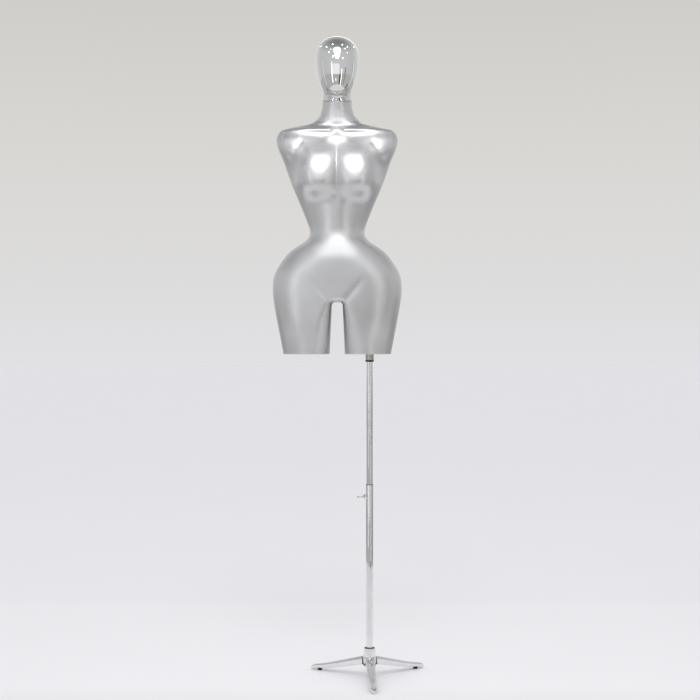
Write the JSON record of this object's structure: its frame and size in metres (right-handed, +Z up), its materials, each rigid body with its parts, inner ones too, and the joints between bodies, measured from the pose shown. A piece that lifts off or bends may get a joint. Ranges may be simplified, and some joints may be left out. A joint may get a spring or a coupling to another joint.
{
  "type": "headed half-body display mannequin on tripod stand",
  "caption": "Armless female display form with plain egg head and cut thighs, carried by a socket in the thigh on a telescopic pole with tripod base.",
  "frame": {"origin": "on the floor, at the middle of the mannequin's overall footprint", "axes": "+Z up, -Y the way the form faces, +X towards the thigh that holds the pole"},
  "size_m": [0.5126, 0.3668, 2.148],
  "materials": {
    "silver_shell": "satin silver metallic paint on a moulded plastic shell",
    "mirror_head": "mirror chrome plating on a moulded plastic shell",
    "chrome_stand": "polished chrome plate on steel",
    "steel_hardware": "zinc-plated steel",
    "bronzed_socket": "satin nickel-bronze plate on steel",
    "black_rubber": "matt moulded rubber",
    "black_plastic": "matt moulded plastic",
    "grey_board": "painted plastic board",
    "magnet": "bare sintered magnet"
  },
  "bodies": {
    "base": {"hub_body": "chrome_stand", "pole_seat_ring": "black_plastic", "base_plate": "steel_hardware", "pole_bolt": "steel_hardware", "pole_bolt_washer": "steel_hardware", "pole_nut": "steel_hardware", "leg_front": "chrome_stand", "leg_right": "chrome_stand", "leg_left": "chrome_stand", "foot_pad_front": "black_rubber", "foot_pad_right": "black_rubber", "foot_pad_left": "black_rubber", "leg_screw_front": "steel_hardware", "leg_screw_right": "steel_hardware", "leg_screw_left": "steel_hardware", "lower_pole": "chrome_stand", "guide_ring": "black_plastic", "clamp_boss": "chrome_stand"},
    "clamp_pad": {"clamp_pad": "bronzed_socket"},
    "clamp_screw": {"clamp_screw": "chrome_stand"},
    "mast": {"upper_pole": "chrome_stand", "pole_foot_bush": "black_plastic", "pole_top_cap": "black_plastic"},
    "torso": {"torso_shell": "silver_shell", "thigh_cap_pole_side": "silver_shell", "thigh_cap_free_side": "silver_shell", "socket_tube": "bronzed_socket", "socket_flange": "steel_hardware", "socket_end_plug": "black_plastic", "socket_gasket": "black_rubber", "socket_screw_1": "steel_hardware", "socket_screw_2": "steel_hardware", "socket_screw_3": "steel_hardware", "socket_screw_4": "steel_hardware", "neck_plate": "grey_board", "neck_magnet": "magnet", "neck_spigot": "steel_hardware", "spigot_nut": "steel_hardware"},
    "head": {"head_shell": "mirror_head", "head_base_plate": "grey_board", "head_striker_ring": "steel_hardware", "head_bush": "black_plastic"}
  },
  "joints": [
    {"name": "height_slide", "type": "slide", "parent": "base", "child": "mast", "axis": [0, 0, 1], "range_m": [-0.4, 0.05]},
    {"name": "body_swivel", "type": "hinge", "parent": "mast", "child": "torso", "pos_m": [0.06901, 0.03836, 1.2], "axis": [0, 0, 1], "continuous": true},
    {"name": "head_turn", "type": "hinge", "parent": "torso", "child": "head", "pos_m": [-0.03999, 0.04036, 1.935], "axis": [0, -0.2198, 0.9755], "continuous": true},
    {"name": "clamp_pad_slide", "type": "slide", "parent": "base", "child": "clamp_pad", "axis": [-0.9063, -0.4226, 0], "range_m": [0, 0.00122]},
    {"name": "clamp_screw_turn", "type": "hinge", "parent": "clamp_pad", "child": "clamp_screw", "pos_m": [0.05088, 0.0299, 0.6075], "axis": [-0.9063, -0.4226, 0], "range_deg": [0, 432]}
  ],
  "couplings": [
    {"joint": "clamp_pad_slide", "follows": "clamp_screw_turn", "m_per_rad": 0.00015915}
  ]
}
